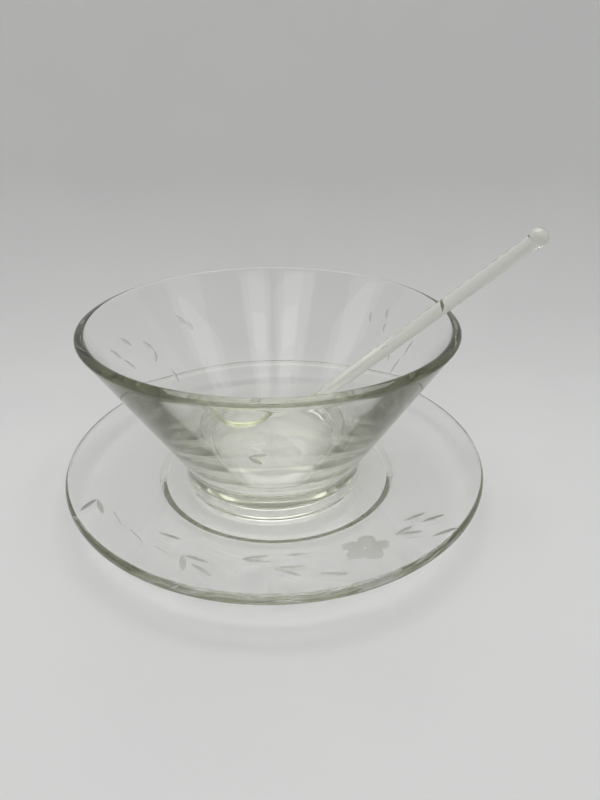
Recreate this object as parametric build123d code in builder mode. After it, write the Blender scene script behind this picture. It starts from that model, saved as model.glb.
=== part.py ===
"""A clear glass bowl standing in the well of a round underplate, with a glass ladle in it.

Millimetres, +Z up. The origin is the centre of the underplate's rest face, so the table is
the plane Z = 0 and the plate's axis is the Z axis. The bowl stands a little off that axis, and
the ladle leans on the bowl's lip on the +X side.
"""

import os
from math import asin, atan2, cos, hypot, radians, sin, tan

from build123d import *

# Underplate
PLATE_RADIUS = 90.0          # outermost radius of the brim
EDGE_BOTTOM = 11.0           # the brim's upright edge runs between these heights above the table
EDGE_TOP = 15.2
EDGE_ROUND = 1.9             # rounds above and below that edge
WELL_RADIUS = 45.0           # flat well that the bowl's foot stands in
WELL_HEIGHT = 2.0            # top of the well above the table, the thickness of the glass there
WELL_BLEND = 24.0            # long round from the well up to the brim
REST_RADIUS = 50.3           # flat ground face under the well, that the plate rests on
FLANK_WIDTH = 2.8            # sloping flank from the rest face up to the underside of the brim
FLANK_HEIGHT = 2.2
CORNER_ROUND = 0.8           # small rounds left by the mould

# Bowl
BOWL_PLACE = (-1.7, 0.0)     # the bowl's axis, from the plate's axis
WALL_FOOT = 31.38            # radius of the wall's outer face, carried on down to the table
WALL_FLARE = 0.5854          # gain in radius for each millimetre of height
WALL_THICKNESS = 3.8         # at the lip, square to the wall
WALL_TAPER = 4.2             # gain in the wall's level thickness from the lip down to the floor
LIP_HEIGHT = 74.9            # outer corner of the lip above the table
LIP_TILT = 16.0              # the lip's flat top rises inwards, degrees
LIP_ROUND = 1.1              # fire-polished rounds at both corners of the lip
NECK_HEIGHT = 12.5           # where the wall meets the foot, above the table
NECK_ROUND = 3.0
FOOT_RADIUS = 39.3
FOOT_GAP = 0.1               # the foot's face above the well
FOOT_ROUND = 1.0
RING_WIDTH = 5.0             # glass ring that the bowl stands on
HOLLOW_RADIUS = 33.3         # flat top of the hollow inside that ring
HOLLOW_HEIGHT = 3.0
HOLLOW_ROUND = 1.2
FLOOR_HEIGHT = 12.4          # inside floor of the bowl, above the table
FLOOR_ROUND = 20.0

# Ladle
CUP_RADIUS = 16.5            # outer radius of the cup at its rim
CUP_DEPTH = 9.0              # outer depth of the cup
CUP_WALL = 2.0
CUP_PLACE = (-15.4, 10.6)    # the cup's axis, from the bowl's axis
CUP_GAP = 0.3                # the cup above the bowl's floor
ROD_RADIUS = 3.0
ROD_LENGTH = 131.1           # from the elbow beside the cup to the bead
ELBOW_REACH = 19.0           # the elbow, from the cup's axis
ELBOW_DROP = 2.2             # the elbow, below the cup's rim
ELBOW_ROUND = 7.0
BEAD_RADIUS = 3.9
LEAN_AZIMUTH = 2.0           # where the rod crosses the lip, degrees round from +X


# ------------------------------------------------------------------ underplate
with BuildPart() as underplate:
    with BuildSketch(Plane.XZ):
        with BuildLine():
            outline = FilletPolyline(
                (0, WELL_HEIGHT),
                (WELL_RADIUS, WELL_HEIGHT),
                (PLATE_RADIUS, EDGE_TOP),
                (PLATE_RADIUS, EDGE_BOTTOM),
                (REST_RADIUS + FLANK_WIDTH, FLANK_HEIGHT),
                (REST_RADIUS, 0),
                (0, 0),
                radius=[WELL_BLEND, EDGE_ROUND, EDGE_ROUND, CORNER_ROUND, CORNER_ROUND],
            )
            Line(outline @ 1, outline @ 0)
        make_face()
    revolve(axis=Axis.Z)

# ------------------------------------------------------------------------ bowl
lip_width = WALL_THICKNESS * hypot(1, WALL_FLARE)
inner_flare = WALL_FLARE + WALL_TAPER / (LIP_HEIGHT - FLOOR_HEIGHT)
lip_slope = tan(radians(LIP_TILT))
lip_climb = lip_width * lip_slope / (1 + inner_flare * lip_slope)
foot_height = WELL_HEIGHT + FOOT_GAP


def outer_radius(height):
    """Radius of the wall's outer face at a height."""
    return WALL_FOOT + WALL_FLARE * height


def inner_radius(height):
    """Radius of the wall's inner face at a height, where the wall thickens downwards."""
    return outer_radius(LIP_HEIGHT) - lip_width - inner_flare * (LIP_HEIGHT - height)


lip_inside = (inner_radius(LIP_HEIGHT + lip_climb), LIP_HEIGHT + lip_climb)
bowl_plane = Plane(origin=(*BOWL_PLACE, 0), x_dir=(1, 0, 0), z_dir=(0, -1, 0))
bowl_axis = Axis((*BOWL_PLACE, 0), (0, 0, 1))

with BuildPart() as bowl:
    with BuildSketch(bowl_plane):
        with BuildLine():
            outline = FilletPolyline(
                (0, foot_height + HOLLOW_HEIGHT),
                (HOLLOW_RADIUS, foot_height + HOLLOW_HEIGHT),
                (FOOT_RADIUS - RING_WIDTH, foot_height),
                (FOOT_RADIUS, foot_height),
                (outer_radius(NECK_HEIGHT), NECK_HEIGHT),
                (outer_radius(LIP_HEIGHT), LIP_HEIGHT),
                lip_inside,
                (inner_radius(FLOOR_HEIGHT), FLOOR_HEIGHT),
                (0, FLOOR_HEIGHT),
                radius=[HOLLOW_ROUND, FOOT_ROUND, FOOT_ROUND, NECK_ROUND, LIP_ROUND, LIP_ROUND, FLOOR_ROUND],
            )
            Line(outline @ 1, outline @ 0)
        make_face()
    revolve(axis=bowl_axis)

# ----------------------------------------------------------------------- ladle
cup_bottom = FLOOR_HEIGHT + CUP_GAP
cup_rim = cup_bottom + CUP_DEPTH
cup_sphere = (CUP_RADIUS**2 + CUP_DEPTH**2) / (2 * CUP_DEPTH)
cup_origin = Vector(*BOWL_PLACE, 0) + Vector(*CUP_PLACE, 0)
cup_plane = Plane(origin=cup_origin, x_dir=(1, 0, 0), z_dir=(0, -1, 0))
cup_axis = Axis(cup_origin, (0, 0, 1))

lip_crossing = Vector(*BOWL_PLACE, 0) + Vector(lip_inside[0], 0, 0).rotate(Axis.Z, LEAN_AZIMUTH)
heading = (lip_crossing - cup_origin).normalized()
elbow = cup_origin + heading * ELBOW_REACH + Vector(0, 0, cup_rim - ELBOW_DROP)
reach = (lip_crossing - elbow).dot(heading)
climb = lip_inside[1] - elbow.Z
rod_rise = atan2(climb, reach) + asin(ROD_RADIUS / hypot(climb, reach))
rod_end = elbow + (heading * cos(rod_rise) + Vector(0, 0, sin(rod_rise))) * ROD_LENGTH
rod_start = elbow - heading * (ELBOW_REACH - CUP_RADIUS + 2 * CUP_WALL)

with BuildPart() as ladle:
    with BuildSketch(cup_plane):
        with Locations((0, cup_bottom + cup_sphere)):
            Circle(cup_sphere)
        with Locations((0, cup_rim)):
            Rectangle(4 * cup_sphere, 4 * cup_sphere, align=(Align.CENTER, Align.MIN), mode=Mode.SUBTRACT)
        Rectangle(2 * cup_sphere, 4 * cup_rim, align=(Align.MAX, Align.CENTER), mode=Mode.SUBTRACT)
    revolve(axis=cup_axis)
    with BuildLine():
        FilletPolyline(rod_start, elbow, rod_end, radius=ELBOW_ROUND)
    with BuildSketch(Plane(origin=rod_start, z_dir=heading)):
        Circle(ROD_RADIUS)
    sweep()
    with Locations(rod_end):
        Sphere(BEAD_RADIUS)
    with Locations(cup_origin + Vector(0, 0, cup_bottom + cup_sphere)):
        Sphere(cup_sphere - CUP_WALL, mode=Mode.SUBTRACT)

# ---------------------------------------------------------------------- export
os.makedirs("parts", exist_ok=True)
for label, built in {"underplate": underplate, "bowl": bowl, "ladle": ladle}.items():
    built.part.label = label
    export_step(built.part, f"parts/{label}.step")
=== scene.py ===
"""A clear glass serving bowl in the well of its underplate, with a glass ladle leaning on its lip.

The bowl and the plate are pressed and fire-polished soda-lime glass with sprays of leaves cut into
them by a stone wheel. The ladle is drawn and lamp-worked from rod. Sizes are in millimetres and
become metres in one place, the function metres.
"""

import logging
from dataclasses import dataclass, field
from enum import Enum
from math import asin, atan2, cos, degrees, hypot, pi, radians, sin, tan
from typing import Callable, Sequence

import bmesh
import bpy
from mathutils import Matrix, Vector


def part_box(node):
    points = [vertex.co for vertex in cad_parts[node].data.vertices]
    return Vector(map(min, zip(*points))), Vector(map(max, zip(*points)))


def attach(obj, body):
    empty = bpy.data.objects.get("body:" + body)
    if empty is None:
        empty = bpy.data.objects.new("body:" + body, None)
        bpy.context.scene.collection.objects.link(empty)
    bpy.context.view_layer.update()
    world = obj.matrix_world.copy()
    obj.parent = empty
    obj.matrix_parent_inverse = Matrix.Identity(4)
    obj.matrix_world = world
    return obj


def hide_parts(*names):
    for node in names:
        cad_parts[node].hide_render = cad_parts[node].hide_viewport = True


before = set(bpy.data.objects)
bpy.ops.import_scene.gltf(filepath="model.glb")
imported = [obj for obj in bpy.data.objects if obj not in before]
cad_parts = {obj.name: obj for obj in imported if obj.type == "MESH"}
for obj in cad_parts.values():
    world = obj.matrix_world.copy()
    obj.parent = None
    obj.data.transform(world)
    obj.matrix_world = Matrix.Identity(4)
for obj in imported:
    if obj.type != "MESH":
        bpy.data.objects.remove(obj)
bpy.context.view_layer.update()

LOG = logging.getLogger("serving_bowl")
MM = 0.001
FULL_TURN = 2 * pi


# ---------------------------------------------------------------------------------- units and colour
def metres(*values: float) -> Vector:
    """Turn millimetres into a vector in metres.

    Args:
        values: two or three lengths in millimetres.

    Returns:
        The same lengths in metres.
    """
    return Vector(values) * MM


def millimetres(corner: Sequence[float]) -> Vector:
    """Turn a corner of a CAD box, in metres, into millimetres."""
    return Vector(corner) / MM


def linear(hex_code: str) -> tuple[float, float, float, float]:
    """Turn an sRGB hex colour into linear red, green, blue and alpha.

    Args:
        hex_code: six hex digits after a hash sign.

    Returns:
        The colour as Blender's colour sockets hold it.
    """
    channels = [int(hex_code[i:i + 2], 16) / 255 for i in (1, 3, 5)]
    return (*(c / 12.92 if c <= 0.04045 else ((c + 0.055) / 1.055) ** 2.4 for c in channels), 1.0)


# ------------------------------------------------------------------------------------ modelling hands
def clear_selection() -> None:
    """Deselect every object, so that the next operator acts on the new piece alone."""
    if bpy.context.object and bpy.context.object.mode != "OBJECT":
        bpy.ops.object.mode_set(mode="OBJECT")
    bpy.ops.object.select_all(action="DESELECT")


def pick(piece: bpy.types.Object) -> None:
    """Make one piece the only selected object and the active one."""
    clear_selection()
    piece.select_set(True)
    bpy.context.view_layer.objects.active = piece


def select_points(piece: bpy.types.Object, wanted: Callable[[Vector], bool]) -> None:
    """Select, in edit mode, the points of a piece that pass a test, and nothing else.

    Args:
        piece: the object in edit mode.
        wanted: a test of a point's place in the mesh.
    """
    bpy.ops.mesh.select_mode(type="VERT")
    bpy.ops.mesh.select_all(action="DESELECT")
    mesh = bmesh.from_edit_mesh(piece.data)
    for point in mesh.verts:
        point.select = wanted(point.co)
    mesh.select_flush_mode()
    bmesh.update_edit_mesh(piece.data)


def select_long_edges(piece: bpy.types.Object, limit: float) -> bool:
    """Select, in edit mode, the edges longer than a limit, and nothing else.

    Args:
        piece: the object in edit mode.
        limit: the longest edge that may stay as it is, in metres.

    Returns:
        Whether any edge was that long.
    """
    bpy.ops.mesh.select_mode(type="EDGE")
    bpy.ops.mesh.select_all(action="DESELECT")
    mesh = bmesh.from_edit_mesh(piece.data)
    for edge in mesh.edges:
        edge.select = edge.calc_length() > limit
    mesh.select_flush_mode()
    found = any(edge.select for edge in mesh.edges)
    bmesh.update_edit_mesh(piece.data)
    return found


def mark_slot_borders(piece: bpy.types.Object) -> None:
    """Mark as sharp each edge where two of a piece's material slots meet."""
    pick(piece)
    bpy.ops.object.mode_set(mode="EDIT")
    bpy.ops.mesh.select_mode(type="EDGE")
    bpy.ops.mesh.select_all(action="DESELECT")
    mesh = bmesh.from_edit_mesh(piece.data)
    for edge in mesh.edges:
        edge.select = len({face.material_index for face in edge.link_faces}) > 1
    bmesh.update_edit_mesh(piece.data)
    bpy.ops.mesh.mark_sharp()
    bpy.ops.object.mode_set(mode="OBJECT")


def apply_modifier(piece: bpy.types.Object, kind: str, **settings: object) -> None:
    """Add a modifier to a piece, set it and apply it.

    Args:
        piece: the object to change.
        kind: the modifier's type.
        settings: its properties and their values.
    """
    pick(piece)
    bpy.ops.object.modifier_add(type=kind)
    modifier = piece.modifiers[-1]
    for name, value in settings.items():
        setattr(modifier, name, value)
    bpy.ops.object.modifier_apply(modifier=modifier.name)


@dataclass(frozen=True)
class Corner:
    """A corner of a turned outline, in millimetres: its radius and height, and the round on it."""

    radius: float
    height: float
    round: float = 0.0


@dataclass(frozen=True)
class Turning:
    """A solid of revolution: an outline drawn as a wire, rounded and spun about an upright axis."""

    name: str
    outline: Sequence[Corner]
    centre: tuple[float, float] = (0.0, 0.0)
    steps: int = 288
    round_steps: int = 8
    longest: float = 4.0

    def build(self) -> bpy.types.Object:
        """Draw the outline, round its corners, spin it and close it.

        Returns:
            The finished object, at the origin, with its normals outwards.
        """
        piece = self._draw()
        for before, corner, after in zip(self.outline, self.outline[1:], self.outline[2:]):
            if corner.round:
                self._round(piece, before, corner, after)
        while select_long_edges(piece, self.longest * MM):
            bpy.ops.mesh.subdivide(number_cuts=1)
        bpy.ops.mesh.select_all(action="SELECT")
        bpy.ops.mesh.spin(steps=self.steps, angle=FULL_TURN, center=metres(*self.centre, 0), axis=(0, 0, 1))
        bpy.ops.mesh.select_all(action="SELECT")
        bpy.ops.mesh.remove_doubles(threshold=0.0005 * MM)
        bpy.ops.mesh.normals_make_consistent(inside=False)
        bpy.ops.object.mode_set(mode="OBJECT")
        return piece

    def _place(self, corner: Corner) -> Vector:
        """Return where a corner of the outline lies, in metres."""
        return metres(self.centre[0] + corner.radius, self.centre[1], corner.height)

    def _draw(self) -> bpy.types.Object:
        """Extrude one point from corner to corner, and leave the wire in edit mode.

        Returns:
            The object that holds the wire.
        """
        clear_selection()
        bpy.ops.mesh.primitive_plane_add(size=MM, location=(0, 0, 0))
        piece = bpy.context.object
        piece.name = self.name
        piece.data.name = self.name
        bpy.ops.object.mode_set(mode="EDIT")
        bpy.ops.mesh.select_mode(type="VERT")
        bpy.ops.mesh.select_all(action="SELECT")
        bpy.ops.mesh.merge(type="CENTER")
        bpy.ops.transform.translate(value=self._place(self.outline[0]))
        for before, after in zip(self.outline, self.outline[1:]):
            step = self._place(after) - self._place(before)
            bpy.ops.mesh.extrude_region_move(TRANSFORM_OT_translate={"value": step})
        return piece

    def _round(self, piece: bpy.types.Object, before: Corner, corner: Corner, after: Corner) -> None:
        """Bevel one corner of the wire to its round.

        Args:
            piece: the wire, in edit mode.
            before: the corner before this one.
            corner: the corner to round.
            after: the corner after it.
        """
        place = self._place(corner)
        opening = (self._place(before) - place).angle(self._place(after) - place)
        select_points(piece, lambda point: (point - place).length < 0.001 * MM)
        bpy.ops.mesh.bevel(
            offset=corner.round * MM / tan(opening / 2),
            segments=self.round_steps,
            affect="VERTICES",
            clamp_overlap=False,
        )


# ---------------------------------------------------------------------------------------------- finishes
def add_node(
    tree: bpy.types.NodeTree,
    kind: str,
    settings: dict[str, object] | None = None,
    links: dict[str, bpy.types.NodeSocket] | None = None,
) -> bpy.types.Node:
    """Add a shader node with its settings and its incoming links.

    Args:
        tree: the material's or the world's node tree.
        kind: the node's type.
        settings: values for its input sockets or, where it has no such socket, its properties.
        links: the output socket that feeds each of its inputs.

    Returns:
        The new node.
    """
    node = tree.nodes.new(kind)
    for name, value in (settings or {}).items():
        if name in node.inputs:
            node.inputs[name].default_value = value
        else:
            setattr(node, name, value)
    for name, source in (links or {}).items():
        tree.links.new(source, node.inputs[name])
    return node


class Finish(Enum):
    """How a glass face was left: melted smooth in the fire, or ground by the cutting wheel."""

    FIRE_POLISHED = 0.0
    WHEEL_CUT = 1.0


@dataclass(frozen=True)
class Glass:
    """Soda-lime glass: clear in thin walls, with a tint that gathers along edges and in the base.

    Both kinds of face share one material, because light that entered by one material and left by
    another would go on being tinted in the air. The face attribute "ground" tells them apart.
    """

    name: str
    tint: str
    density: float
    grit_size: float = 0.45
    grit_height: float = 0.012
    polish: float = 0.0
    frost: float = 0.60
    ior: float = 1.52

    def material(self) -> bpy.types.Material:
        """Make the glass.

        Returns:
            The material, clear where "ground" is 0 and frosted where it is 1.
        """
        material = bpy.data.materials.new(self.name)
        material.use_nodes = True
        tree = material.node_tree
        tree.nodes.clear()
        ground = add_node(tree, "ShaderNodeAttribute", {"attribute_name": "ground"})
        frost = add_node(
            tree,
            "ShaderNodeMapRange",
            {"To Min": self.polish, "To Max": self.frost},
            {"Value": ground.outputs["Fac"]},
        )
        # The stone leaves a fine grit, drawn about three times too coarse so that it shows.
        place = add_node(tree, "ShaderNodeTexCoord")
        grit = add_node(
            tree,
            "ShaderNodeTexNoise",
            {"Scale": 1 / (self.grit_size * MM), "Detail": 2.0},
            {"Vector": place.outputs["Object"]},
        )
        bump = add_node(
            tree,
            "ShaderNodeBump",
            {"Distance": self.grit_height * MM},
            {"Height": grit.outputs["Fac"], "Strength": ground.outputs["Fac"]},
        )
        shader = add_node(
            tree,
            "ShaderNodeBsdfPrincipled",
            {"Base Color": linear("#FFFFFF"), "IOR": self.ior, "Transmission Weight": 1.0},
            {"Roughness": frost.outputs["Result"], "Normal": bump.outputs["Normal"]},
        )
        tint = add_node(
            tree,
            "ShaderNodeVolumeAbsorption",
            {"Color": linear(self.tint), "Density": self.density},
        )
        add_node(
            tree,
            "ShaderNodeOutputMaterial",
            links={"Surface": shader.outputs["BSDF"], "Volume": tint.outputs["Volume"]},
        )
        return material

    def dress(self, piece: bpy.types.Object) -> None:
        """Give a piece this glass, and nothing else."""
        piece.data.materials.clear()
        piece.data.materials.append(self.material())


@dataclass(frozen=True)
class Paper:
    """Matt white paper of the studio sweep, with a faint cloudiness so that it isn't dead flat."""

    light: str = "#E9E9E8"
    dark: str = "#E3E4E3"
    cloud_size: float = 60.0

    def material(self) -> bpy.types.Material:
        """Make the material of the sweep."""
        material = bpy.data.materials.new("matt_paper")
        material.use_nodes = True
        tree = material.node_tree
        tree.nodes.clear()
        place = add_node(tree, "ShaderNodeTexCoord")
        noise = add_node(
            tree,
            "ShaderNodeTexNoise",
            {"Scale": 1 / (self.cloud_size * MM)},
            {"Vector": place.outputs["Object"]},
        )
        blend = add_node(tree, "ShaderNodeMix", {"data_type": "RGBA"})
        blend.inputs[6].default_value = linear(self.dark)
        blend.inputs[7].default_value = linear(self.light)
        tree.links.new(noise.outputs["Fac"], blend.inputs[0])
        shader = add_node(tree, "ShaderNodeBsdfPrincipled", {"Roughness": 0.95, "Specular IOR Level": 0.15})
        tree.links.new(blend.outputs[2], shader.inputs["Base Color"])
        # The sheet's back is clear, so that its upright part doesn't hide the set from behind.
        side = add_node(tree, "ShaderNodeNewGeometry")
        clear = add_node(tree, "ShaderNodeBsdfTransparent")
        sheet = add_node(tree, "ShaderNodeMixShader", links={"Fac": side.outputs["Backfacing"]})
        tree.links.new(shader.outputs["BSDF"], sheet.inputs[1])
        tree.links.new(clear.outputs["BSDF"], sheet.inputs[2])
        add_node(tree, "ShaderNodeOutputMaterial", links={"Surface": sheet.outputs["Shader"]})
        return material


# --------------------------------------------------------------------------------------------- engraving
@dataclass(frozen=True)
class ConeFace:
    """A conical glass face that the wheel cuts: the bowl's outside or the top of the plate's brim."""

    centre: tuple[float, float]
    start: Corner
    rise: float
    outside: bool

    def axes(self, radius: float, azimuth: float) -> tuple[Vector, Vector, Vector, Vector]:
        """Find a place on the face and the directions there.

        Args:
            radius: distance from the axis, in millimetres.
            azimuth: degrees round from +X.

        Returns:
            The place in millimetres, and the unit directions round the face, up it and out of it.
        """
        turn = radians(azimuth)
        outward = Vector((cos(turn), sin(turn), 0))
        up_face = outward * cos(self.rise) + Vector((0, 0, sin(self.rise)))
        round_face = Vector((-sin(turn), cos(turn), 0))
        out = outward * sin(self.rise) - Vector((0, 0, cos(self.rise)))
        if not self.outside:
            out.negate()
        height = self.start.height + (radius - self.start.radius) * tan(self.rise)
        place = Vector((*self.centre, height)) + outward * radius
        return place, round_face, up_face, out


@dataclass(frozen=True)
class Cut:
    """One touch of the wheel: a boat-shaped groove, pointed at both ends.

    The groove starts at a radius and azimuth and runs at an angle to the direction round the face,
    positive up the face. Lengths are in millimetres and angles in degrees. A blunt of 1 gives a
    leaf's parabolic sides, and more than 1 a petal's fuller ends.
    """

    radius: float
    azimuth: float
    length: float
    turn: float
    width: float = 2.0
    depth: float = 0.32
    blunt: float = 1.0
    steps: int = 10

    def cutter(self, face: ConeFace) -> bpy.types.Object:
        """Model the shape that the wheel takes out of a face.

        Args:
            face: the glass face that is cut.

        Returns:
            A closed spindle lying along the groove.
        """
        half = self.length / 2
        outline = [
            Corner(self.width / 2 * (1 - abs(i / self.steps) ** (2 * self.blunt)), half * i / self.steps)
            for i in range(-self.steps, self.steps + 1)
        ]
        spindle = Turning("wheel_cut", outline, steps=12, longest=self.length).build()
        place, round_face, up_face, _ = face.axes(self.radius, self.azimuth)
        turn = radians(self.turn)
        along = round_face * cos(turn) + up_face * sin(turn)
        middle, _, _, out = face.axes(*self._middle(place + along * half, face))
        across = along.cross(out).normalized()
        out = across.cross(along).normalized()
        depth_scale = self.depth / (self.width / 2)
        basis = Matrix((out * depth_scale, across, along)).transposed().to_4x4()
        spindle.matrix_world = Matrix.Translation(middle * MM) @ basis
        pick(spindle)
        bpy.ops.object.transform_apply(location=True, rotation=True, scale=True)
        return spindle

    @staticmethod
    def _middle(place: Vector, face: ConeFace) -> tuple[float, float]:
        """Return the radius and azimuth of a place, seen from a face's axis."""
        x, y = place.x - face.centre[0], place.y - face.centre[1]
        return hypot(x, y), degrees(atan2(y, x))


def leaf_pair(radius: float, azimuth: float, turn: float, spread: float, length: float = 11.5) -> list[Cut]:
    """Design two leaves that open from one point.

    Args:
        radius: the point's distance from the axis.
        azimuth: its place round the axis.
        turn: the direction of the pair's middle line.
        spread: the angle between the leaves.
        length: the length of each leaf.

    Returns:
        The two cuts.
    """
    return [Cut(radius, azimuth, length, turn + side * spread / 2) for side in (-1, 1)]


def stem(radius: float, first: float, last: float, sway: float, touches: int) -> list[Cut]:
    """Design a stem as a row of fine touches of the wheel that overlap.

    Args:
        radius: the stem's mean distance from the axis.
        first: where it starts round the axis.
        last: where it ends.
        sway: how far it swings to either side.
        touches: how many touches it takes.

    Returns:
        The cuts, end over end.
    """
    overlap, width, depth = 1.12, 0.55, 0.09
    step = (last - first) / touches
    length = radians(step) * radius * overlap
    cuts = []
    for i in range(touches):
        offset = sway * cos(pi * i / 2)
        turn = -degrees(atan2(offset, length))
        cuts.append(Cut(radius + offset, first + i * step, length, turn, width=width, depth=depth))
    return cuts


def flower(face: ConeFace, radius: float, azimuth: float, petals: int, reach: float) -> list[Cut]:
    """Design a flower of broad shallow petals that run into each other at its eye.

    Args:
        face: the face it lies on.
        radius: the eye's distance from the axis.
        azimuth: the eye's place round the axis.
        petals: the number of petals.
        reach: the length of a petal.

    Returns:
        The petals' cuts.
    """
    first_turn = 0.35
    eye_radius, width, depth, blunt = reach * 0.04, reach * 0.74, 0.16, 1.8
    eye, round_face, up_face, _ = face.axes(radius, azimuth)
    cuts = []
    for i in range(petals):
        turn = FULL_TURN * i / petals + first_turn
        start = eye + (round_face * cos(turn) + up_face * sin(turn)) * eye_radius
        x, y = start.x - face.centre[0], start.y - face.centre[1]
        place = degrees(atan2(y, x))
        heading = degrees(turn) - (place - azimuth)
        cuts.append(Cut(hypot(x, y), place, reach, heading, width=width, depth=depth, blunt=blunt))
    return cuts


def engrave(piece: bpy.types.Object, face: ConeFace, cuts: Sequence[Cut]) -> None:
    """Cut a design into a glass piece, and mark the cut faces as ground.

    Args:
        piece: the glass piece.
        face: the face that is cut.
        cuts: the touches of the wheel.
    """
    spindles = [cut.cutter(face) for cut in cuts]
    pick(spindles[0])
    for spindle in spindles:
        spindle.select_set(True)
    bpy.ops.object.join()
    cutter = bpy.context.object
    # A material for each finish carries the mark through the cut: the faces that the cutter leaves
    # behind bring their slot with them.
    marks = [bpy.data.materials.new(finish.name) for finish in Finish]
    piece.data.materials.append(marks[0])
    cutter.data.materials.append(marks[1])
    apply_modifier(
        piece,
        "BOOLEAN",
        operation="DIFFERENCE",
        object=cutter,
        solver="EXACT",
        use_self=True,
        material_mode="TRANSFER",
    )
    bpy.data.objects.remove(cutter, do_unlink=True)
    mark_slot_borders(piece)
    finishes = [Finish[slot.name].value for slot in piece.data.materials]
    ground = piece.data.attributes.new("ground", "FLOAT", "FACE")
    for polygon, mark in zip(piece.data.polygons, ground.data):
        mark.value = finishes[polygon.material_index]
        polygon.material_index = 0
    piece.data.materials.clear()
    for mark in marks:
        bpy.data.materials.remove(mark)


def swell(piece: bpy.types.Object, above: float, below: float, size: float, height: float) -> None:
    """Give a band of a pressed piece the slow swells that the mould leaves.

    Args:
        piece: the piece to change.
        above: the height where the swells begin, in millimetres.
        below: the height where they end.
        size: the width of a swell.
        height: how far the glass moves in or out.
    """
    clouds = bpy.data.textures.new(f"{piece.name}_swell", "CLOUDS")
    clouds.noise_scale = size * MM
    clouds.noise_depth = 1
    group = piece.vertex_groups.new(name="swell")
    group.add([v.index for v in piece.data.vertices if above * MM < v.co.z < below * MM], 1.0, "REPLACE")
    apply_modifier(
        piece,
        "DISPLACE",
        texture=clouds,
        texture_coords="LOCAL",
        vertex_group="swell",
        strength=height * MM,
        mid_level=0.5,
    )
    piece.vertex_groups.clear()


def smooth(piece: bpy.types.Object, angle: float = 28.0) -> None:
    """Shade a piece smooth, with its real creases kept."""
    pick(piece)
    bpy.ops.object.shade_smooth_by_angle(angle=radians(angle))


# --------------------------------------------------------------------------------------- sub-assemblies
@dataclass
class Underplate:
    """The round plate under the bowl: a thin well, a rising brim and a thick rounded edge."""

    glass: Glass
    node: str = "underplate"
    edge_depth: float = 4.2
    edge_round: float = 1.9
    well_radius: float = 45.0
    well_height: float = 2.0
    well_blend: float = 24.0
    rest_radius: float = 50.3
    flank_width: float = 2.8
    flank_height: float = 2.2
    corner_round: float = 0.8
    edge_top: float = 15.2
    radius: float = field(init=False)

    def __post_init__(self) -> None:
        """Take the plate's radius from the CAD node."""
        low, high = (millimetres(corner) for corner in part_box(self.node))
        self.radius = (high.x - low.x) / 2

    def face(self) -> ConeFace:
        """Return the top of the brim, where the leaves are cut."""
        rise = atan2(self.edge_top - self.well_height, self.radius - self.well_radius)
        return ConeFace((0.0, 0.0), Corner(self.well_radius, self.well_height), rise, outside=False)

    def design(self) -> list[Cut]:
        """Design the long spray with its flower, running round the front of the brim.

        Returns:
            The cuts: pairs of leaves as (radius, azimuth, middle line, spread), single leaves as
            (radius, azimuth, length, turn), a stem and the flower.
        """
        face = self.face()
        pairs = [(79, -152, 22, 44), (73, -115, 25, 55), (67.5, -99, -15, 26), (72.5, -89, 11, 36)]
        singles = [(68, -129, 11.0, -21), (76, -111, 12.4, 22), (63.5, -86, 10.5, 0), (78, -78, 12.0, 20),
                   (68, -43, 11.0, 27), (74.5, -41, 10.5, 35), (71.5, -51, 10.4, 8), (72, -50, 10.2, 42),
                   (83, -46, 11.5, 28)]
        cuts = [cut for pair in pairs for cut in leaf_pair(*pair)]
        cuts += [Cut(*single) for single in singles]
        return cuts + stem(75, -148, -117, 0.5, 3) + flower(face, 70.5, -61, 5, 9.0)

    def build(self) -> bpy.types.Object:
        """Model, dress and cut the plate.

        Returns:
            The finished piece.
        """
        outline = [
            Corner(0, self.well_height),
            Corner(self.well_radius, self.well_height, self.well_blend),
            Corner(self.radius, self.edge_top, self.edge_round),
            Corner(self.radius, self.edge_top - self.edge_depth, self.edge_round),
            Corner(self.rest_radius + self.flank_width, self.flank_height, self.corner_round),
            Corner(self.rest_radius, 0, self.corner_round),
            Corner(0, 0),
        ]
        # The brim's long runs stay undivided, so that their shading swells gently into the rounds, as
        # fire polish leaves them.
        piece = Turning("underplate_glass", outline, longest=self.radius).build()
        engrave(piece, self.face(), self.design())
        smooth(piece)
        self.glass.dress(piece)
        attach(piece, "underplate")
        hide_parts(self.node)
        return piece


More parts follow.
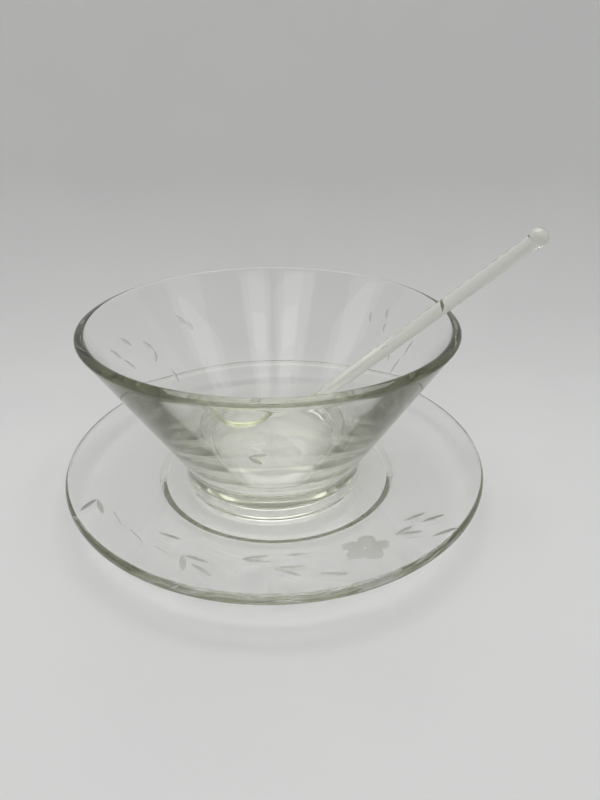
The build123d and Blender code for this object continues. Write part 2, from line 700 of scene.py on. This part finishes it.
@dataclass
class Bowl:
    """The flared bowl: a short hollow foot, a thick base and a straight wall with a flat lip."""

    glass: Glass
    node: str = "bowl"
    wall_foot: float = 31.38
    wall_flare: float = 0.5854
    wall_thickness: float = 3.8
    wall_taper: float = 4.2
    lip_height: float = 74.9
    lip_tilt: float = 16.0
    lip_round: float = 1.1
    neck_height: float = 12.5
    neck_round: float = 3.0
    foot_radius: float = 39.3
    foot_round: float = 1.0
    ring_width: float = 5.0
    hollow_radius: float = 33.3
    hollow_height: float = 3.0
    hollow_round: float = 1.2
    floor_height: float = 12.4
    floor_round: float = 20.0
    foot_height: float = field(init=False)
    centre: tuple[float, float] = field(init=False)

    def __post_init__(self) -> None:
        """Take the bowl's axis and its foot's height from the CAD node."""
        low, high = (millimetres(corner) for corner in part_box(self.node))
        self.centre = ((low.x + high.x) / 2, (low.y + high.y) / 2)
        self.foot_height = low.z

    def outer(self, height: float) -> float:
        """Return the radius of the wall's outer face at a height."""
        return self.wall_foot + self.wall_flare * height

    @property
    def lip_width(self) -> float:
        """Return the wall's thickness at the lip, measured level."""
        return self.wall_thickness * hypot(1, self.wall_flare)

    @property
    def inner_flare(self) -> float:
        """Return the inner face's gain in radius with height, more than the outer face's."""
        return self.wall_flare + self.wall_taper / (self.lip_height - self.floor_height)

    def inner(self, height: float) -> float:
        """Return the radius of the wall's inner face at a height, where the wall thickens downwards."""
        return self.outer(self.lip_height) - self.lip_width - self.inner_flare * (self.lip_height - height)

    def lip_inside(self) -> Corner:
        """Return the inner corner of the lip, which is higher than the outer one."""
        slope = tan(radians(self.lip_tilt))
        height = self.lip_height + self.lip_width * slope / (1 + self.inner_flare * slope)
        return Corner(self.inner(height), height, self.lip_round)

    def face(self) -> ConeFace:
        """Return the outside of the wall, where the leaves are cut."""
        rise = atan2(1, self.wall_flare)
        return ConeFace(self.centre, Corner(self.wall_foot, 0.0), rise, outside=True)

    def design(self) -> list[Cut]:
        """Design the sprays on the left, the right and the front of the wall.

        Returns:
            The cuts, each leaf from its (radius, azimuth, length, turn).
        """
        left = [(60, 179, 9, 58), (64, 183, 8, 58), (64, 170, 9, 50), (60.5, 159, 8, 54), (60.5, 159, 7, -55),
                (55, 156, 8, -88), (63, 135, 8, 50), (61, 133, 6, 74)]
        right = [(64, 42, 6, 62), (66, 35, 6, 70), (63, 33, 5, 76), (56, 12, 9, 84), (61, 11, 9, 78),
                 (58, 20, 7, 60)]
        front = [(58.4, -95, 8, 13), (58.4, -95, 7.3, -54)]
        return [Cut(*touch, width=2.4) for touch in left + right + front]

    def build(self) -> bpy.types.Object:
        """Model, dress and cut the bowl.

        Returns:
            The finished piece.
        """
        outline = [
            Corner(0, self.foot_height + self.hollow_height),
            Corner(self.hollow_radius, self.foot_height + self.hollow_height, self.hollow_round),
            Corner(self.foot_radius - self.ring_width, self.foot_height, self.foot_round),
            Corner(self.foot_radius, self.foot_height, self.foot_round),
            Corner(self.outer(self.neck_height), self.neck_height, self.neck_round),
            Corner(self.outer(self.lip_height), self.lip_height, self.lip_round),
            self.lip_inside(),
            Corner(self.inner(self.floor_height), self.floor_height, self.floor_round),
            Corner(0, self.floor_height),
        ]
        piece = Turning("bowl_glass", outline, self.centre).build()
        swell(piece, above=14.5, below=66.0, size=24, height=0.04)
        engrave(piece, self.face(), self.design())
        smooth(piece)
        self.glass.dress(piece)
        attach(piece, "bowl")
        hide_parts(self.node)
        return piece


@dataclass
class Ladle:
    """The ladle: a thick shallow cup with a drawn rod melted to its rim and a bead on the rod's end."""

    glass: Glass
    bowl: Bowl
    node: str = "ladle"
    cup_radius: float = 16.5
    cup_depth: float = 9.0
    cup_wall: float = 2.0
    cup_place: tuple[float, float] = (-15.4, 10.6)
    cup_gap: float = 0.3
    rim_round: float = 0.84
    rod_radius: float = 3.0
    rod_length: float = 131.1
    elbow_reach: float = 19.0
    elbow_drop: float = 2.2
    elbow_round: float = 7.0
    root_sink: float = 2.4
    bead_radius: float = 3.9
    lean_azimuth: float = 2.0
    grain: float = 0.36
    melt_passes: int = 14

    def build(self) -> bpy.types.Object:
        """Model the cup, the rod and the bead, melt them together and dress the ladle.

        Returns:
            The finished piece.
        """
        bowl_axis = Vector((*self.bowl.centre, 0))
        cup_axis = bowl_axis + Vector((*self.cup_place, 0))
        cup_bottom = self.bowl.floor_height + self.cup_gap
        cup_rim = cup_bottom + self.cup_depth
        sphere = (self.cup_radius ** 2 + self.cup_depth ** 2) / (2 * self.cup_depth)
        cup = self._cup(cup_axis, cup_bottom, sphere)

        lip = self.bowl.lip_inside()
        lean = radians(self.lean_azimuth)
        crossing = bowl_axis + Vector((cos(lean), sin(lean), 0)) * lip.radius
        heading = (crossing - cup_axis).normalized()
        elbow = cup_axis + heading * self.elbow_reach + Vector((0, 0, cup_rim - self.elbow_drop))
        reach, climb = (crossing - elbow).dot(heading), lip.height - elbow.z
        rise = atan2(climb, reach) + asin(self.rod_radius / hypot(climb, reach))
        end = elbow + (heading * cos(rise) + Vector((0, 0, sin(rise)))) * self.rod_length
        start = elbow - heading * (self.elbow_reach - self.cup_radius + self.root_sink)
        rod = self._rod(start, elbow, end)
        bead = self._bead(end)

        piece = self._melt([cup, rod, bead])
        self.glass.dress(piece)
        smooth(piece, angle=180.0)
        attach(piece, "ladle")
        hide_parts(self.node)
        return piece

    def _cup(self, axis: Vector, bottom: float, sphere: float) -> bpy.types.Object:
        """Turn the cup, a slice of a thick hollow ball with a rounded rim.

        Args:
            axis: the cup's axis.
            bottom: the height of its underside.
            sphere: the outer radius of the ball.

        Returns:
            The cup as a closed shell.
        """
        slices = 14
        off_rim = 0.05
        half_angle = asin(self.cup_radius / sphere)
        inside = sphere - self.cup_wall
        outer_arc = [half_angle * i / slices for i in range(slices + 1)]
        outline = [Corner(sphere * sin(a), bottom + sphere * (1 - cos(a))) for a in outer_arc]
        rim = outline.pop()
        inner_arc = [a for a in reversed(outer_arc) if sphere - inside * cos(a) < self.cup_depth - off_rim]
        outline.append(Corner(rim.radius, rim.height, self.rim_round))
        outline.append(Corner(inside * sin(half_angle), rim.height, self.rim_round))
        outline += [Corner(inside * sin(a), bottom + sphere - inside * cos(a)) for a in inner_arc[1:]]
        return Turning("ladle_cup", outline, (axis.x, axis.y), steps=96, round_steps=4).build()

    def _rod(self, start: Vector, elbow: Vector, end: Vector) -> bpy.types.Object:
        """Draw the rod along its path, with a soft bend at the elbow.

        Args:
            start: the root, inside the cup's wall.
            elbow: where the straight runs would meet.
            end: the middle of the bead.

        Returns:
            The rod as a closed mesh.
        """
        clear_selection()
        bpy.ops.curve.primitive_bezier_curve_add(location=(0, 0, 0))
        rod = bpy.context.object
        rod.name = "ladle_rod"
        spline = rod.data.splines[0]
        spline.bezier_points.add(1)
        rod.data.dimensions = "3D"
        into, onto = (elbow - start).normalized(), (end - elbow).normalized()
        slack = 1.0
        bend = self.elbow_round * tan(into.angle(onto) / 2) + slack
        root_hold, bend_hold, bead_hold = 0.5, 0.9 * bend, 0.3 * self.rod_length
        stops = [(start, into, root_hold), (elbow + onto * bend, onto, bend_hold), (end, onto, bead_hold)]
        for point, (place, along, hold) in zip(spline.bezier_points, stops):
            point.handle_left_type = point.handle_right_type = "FREE"
            point.co = place * MM
            point.handle_left = (place - along * hold) * MM
            point.handle_right = (place + along * min(hold, bend)) * MM
        rod.data.resolution_u = 24
        rod.data.bevel_depth = self.rod_radius * MM
        rod.data.bevel_resolution = 8
        rod.data.use_fill_caps = True
        bpy.ops.object.convert(target="MESH")
        return bpy.context.object

    def _bead(self, end: Vector) -> bpy.types.Object:
        """Model the bead, a ball kept a little inside its drawn size."""
        shrink = 0.97
        clear_selection()
        bpy.ops.mesh.primitive_uv_sphere_add(
            segments=32, ring_count=20, radius=self.bead_radius * MM, location=end * MM
        )
        bead = bpy.context.object
        bpy.ops.object.mode_set(mode="EDIT")
        bpy.ops.mesh.select_all(action="SELECT")
        bpy.ops.transform.resize(value=(shrink, shrink, shrink))
        bpy.ops.object.mode_set(mode="OBJECT")
        pick(bead)
        bpy.ops.object.transform_apply(location=True, rotation=True, scale=True)
        return bead

    def _melt(self, parts: Sequence[bpy.types.Object]) -> bpy.types.Object:
        """Join the parts into one skin and let their junctions flow together.

        Args:
            parts: the closed meshes that overlap.

        Returns:
            The ladle as one closed mesh.
        """
        pick(parts[0])
        for part in parts:
            part.select_set(True)
        bpy.ops.object.join()
        piece = bpy.context.object
        piece.name = piece.data.name = "ladle_glass"
        apply_modifier(piece, "REMESH", mode="VOXEL", voxel_size=self.grain * MM, adaptivity=0.0)
        apply_modifier(piece, "SMOOTH", factor=0.5, iterations=self.melt_passes)
        return piece


# ------------------------------------------------------------------------------------------------ studio
@dataclass(frozen=True)
class Sweep:
    """The sheet of paper that the set stands on, curving up behind it."""

    paper: Paper
    half_width: float = 1100.0
    front: float = -900.0
    bend_start: float = 95.0
    bend_radius: float = 110.0
    wall_height: float = 330.0
    drop: float = 0.1

    def build(self) -> bpy.types.Object:
        """Model the sweep and give it the paper's material.

        Returns:
            The sweep.
        """
        clear_selection()
        bpy.ops.mesh.primitive_plane_add(size=1, location=(0, 0, 0))
        sheet = bpy.context.object
        sheet.name = "paper_sweep"
        back = self.bend_start + self.bend_radius
        bpy.ops.object.mode_set(mode="EDIT")
        bpy.ops.mesh.select_all(action="SELECT")
        depth = back - self.front
        bpy.ops.transform.resize(value=(2 * self.half_width * MM, depth * MM, 1))
        bpy.ops.transform.translate(value=metres(0, (back + self.front) / 2, -self.drop))
        select_points(sheet, lambda point: point.y > 0)
        bpy.ops.mesh.extrude_region_move(TRANSFORM_OT_translate={"value": metres(0, 0, self.wall_height)})
        select_points(sheet, lambda point: point.y > 0 and point.z < 0)
        bpy.ops.mesh.bevel(offset=self.bend_radius * MM, segments=24, affect="EDGES", clamp_overlap=False)
        bpy.ops.mesh.select_all(action="SELECT")
        bpy.ops.mesh.normals_make_consistent(inside=True)
        bpy.ops.object.mode_set(mode="OBJECT")
        bpy.ops.object.shade_smooth()
        sheet.data.materials.append(self.paper.material())
        return sheet


@dataclass(frozen=True)
class SoftBox:
    """A rectangular studio lamp that faces the set, placed by its direction from it."""

    name: str
    azimuth: float
    elevation: float
    distance: float
    width: float
    height: float
    power: float
    aim_height: float = 60.0

    def build(self) -> bpy.types.Object:
        """Hang the lamp.

        Returns:
            The lamp's object.
        """
        lamp = bpy.data.lights.new(self.name, "AREA")
        lamp.shape = "RECTANGLE"
        lamp.size, lamp.size_y = self.width * MM, self.height * MM
        lamp.energy = self.power
        obj = bpy.data.objects.new(self.name, lamp)
        bpy.context.scene.collection.objects.link(obj)
        turn, climb = radians(self.azimuth), radians(self.elevation)
        aim = metres(0, 0, self.aim_height)
        away = Vector((sin(turn) * cos(climb), -cos(turn) * cos(climb), sin(climb)))
        obj.location = aim + away * self.distance * MM
        obj.rotation_euler = (-away).to_track_quat("-Z", "Y").to_euler()
        return obj


@dataclass(frozen=True)
class Studio:
    """The light round the set: an even white room, an overhead bank and soft boxes by the camera."""

    room_light: float = 0.33
    bounces: int = 80
    lamps: tuple[SoftBox, ...] = (
        SoftBox("overhead_bank", 180, 75, 1000, 900, 900, 5.7),
        SoftBox("key_right", 16, 42, 1300, 420, 500, 0.42),
        SoftBox("key_right_core", 15, 42, 1270, 230, 300, 0.16),
        SoftBox("key_left", -20, 42, 1300, 560, 500, 0.60),
        SoftBox("key_left_core", -17, 42, 1270, 260, 300, 0.20),
        SoftBox("side_right", 75, 32, 1300, 500, 400, 0.5),
        SoftBox("side_left", -78, 32, 1300, 500, 400, 0.5),
    )

    def build(self) -> None:
        """Light the set, and let light pass through glass as often as it really does."""
        world = bpy.data.worlds.new("white_room")
        world.use_nodes = True
        world.node_tree.nodes.clear()
        room = add_node(
            world.node_tree, "ShaderNodeBackground", {"Color": linear("#FFFFFF"), "Strength": self.room_light}
        )
        add_node(world.node_tree, "ShaderNodeOutputWorld", links={"Surface": room.outputs["Background"]})
        scene = bpy.context.scene
        scene.world = world
        for lamp in self.lamps:
            lamp.build()
        # Light runs along a glass wall by dozens of inner reflections before it leaves at an edge.
        scene.cycles.max_bounces = self.bounces
        scene.cycles.transmission_bounces = self.bounces
        scene.cycles.glossy_bounces = self.bounces
        scene.cycles.blur_glossy = 0.0
        scene.cycles.caustics_refractive = True
        scene.cycles.caustics_reflective = True
        scene.view_settings.view_transform = "Standard"


@dataclass(frozen=True)
class Camera:
    """A phone camera held close over the front of the set and tipped down at it."""

    side: float = 12.05
    back: float = 215.76
    height: float = 151.88
    pitch: float = 28.062
    roll: float = 0.279
    lens: float = 25.38

    def build(self, centre: tuple[float, float]) -> bpy.types.Object:
        """Place the camera.

        Args:
            centre: the bowl's axis, in millimetres, that the camera is placed from.

        Returns:
            The camera's object.
        """
        data = bpy.data.cameras.new("camera")
        data.lens = self.lens
        data.clip_start = 5 * MM
        camera = bpy.data.objects.new("camera", data)
        bpy.context.scene.collection.objects.link(camera)
        place = Matrix.Translation(metres(centre[0] + self.side, -self.back, self.height))
        turn = Matrix.Rotation(radians(90 - self.pitch), 4, "X") @ Matrix.Rotation(radians(self.roll), 4, "Z")
        camera.matrix_world = place @ turn
        bpy.context.scene.camera = camera
        return camera


def main() -> None:
    """Build the set and its studio, and report each piece."""
    logging.basicConfig(level=logging.INFO, format="%(name)s: %(message)s")
    pressed = Glass("pressed_soda_lime", tint="#E1E2D8", density=23.0)
    lampworked = Glass("lampworked_soda_lime", tint="#E3E9BC", density=40.0)
    bowl = Bowl(pressed)
    Camera().build(bowl.centre)
    Sweep(Paper()).build()
    Studio().build()
    for part in (Underplate(pressed), bowl, Ladle(lampworked, bowl)):
        piece = part.build()
        LOG.info("%s: %d faces", piece.name, len(piece.data.polygons))


if __name__ == "__main__":
    main()
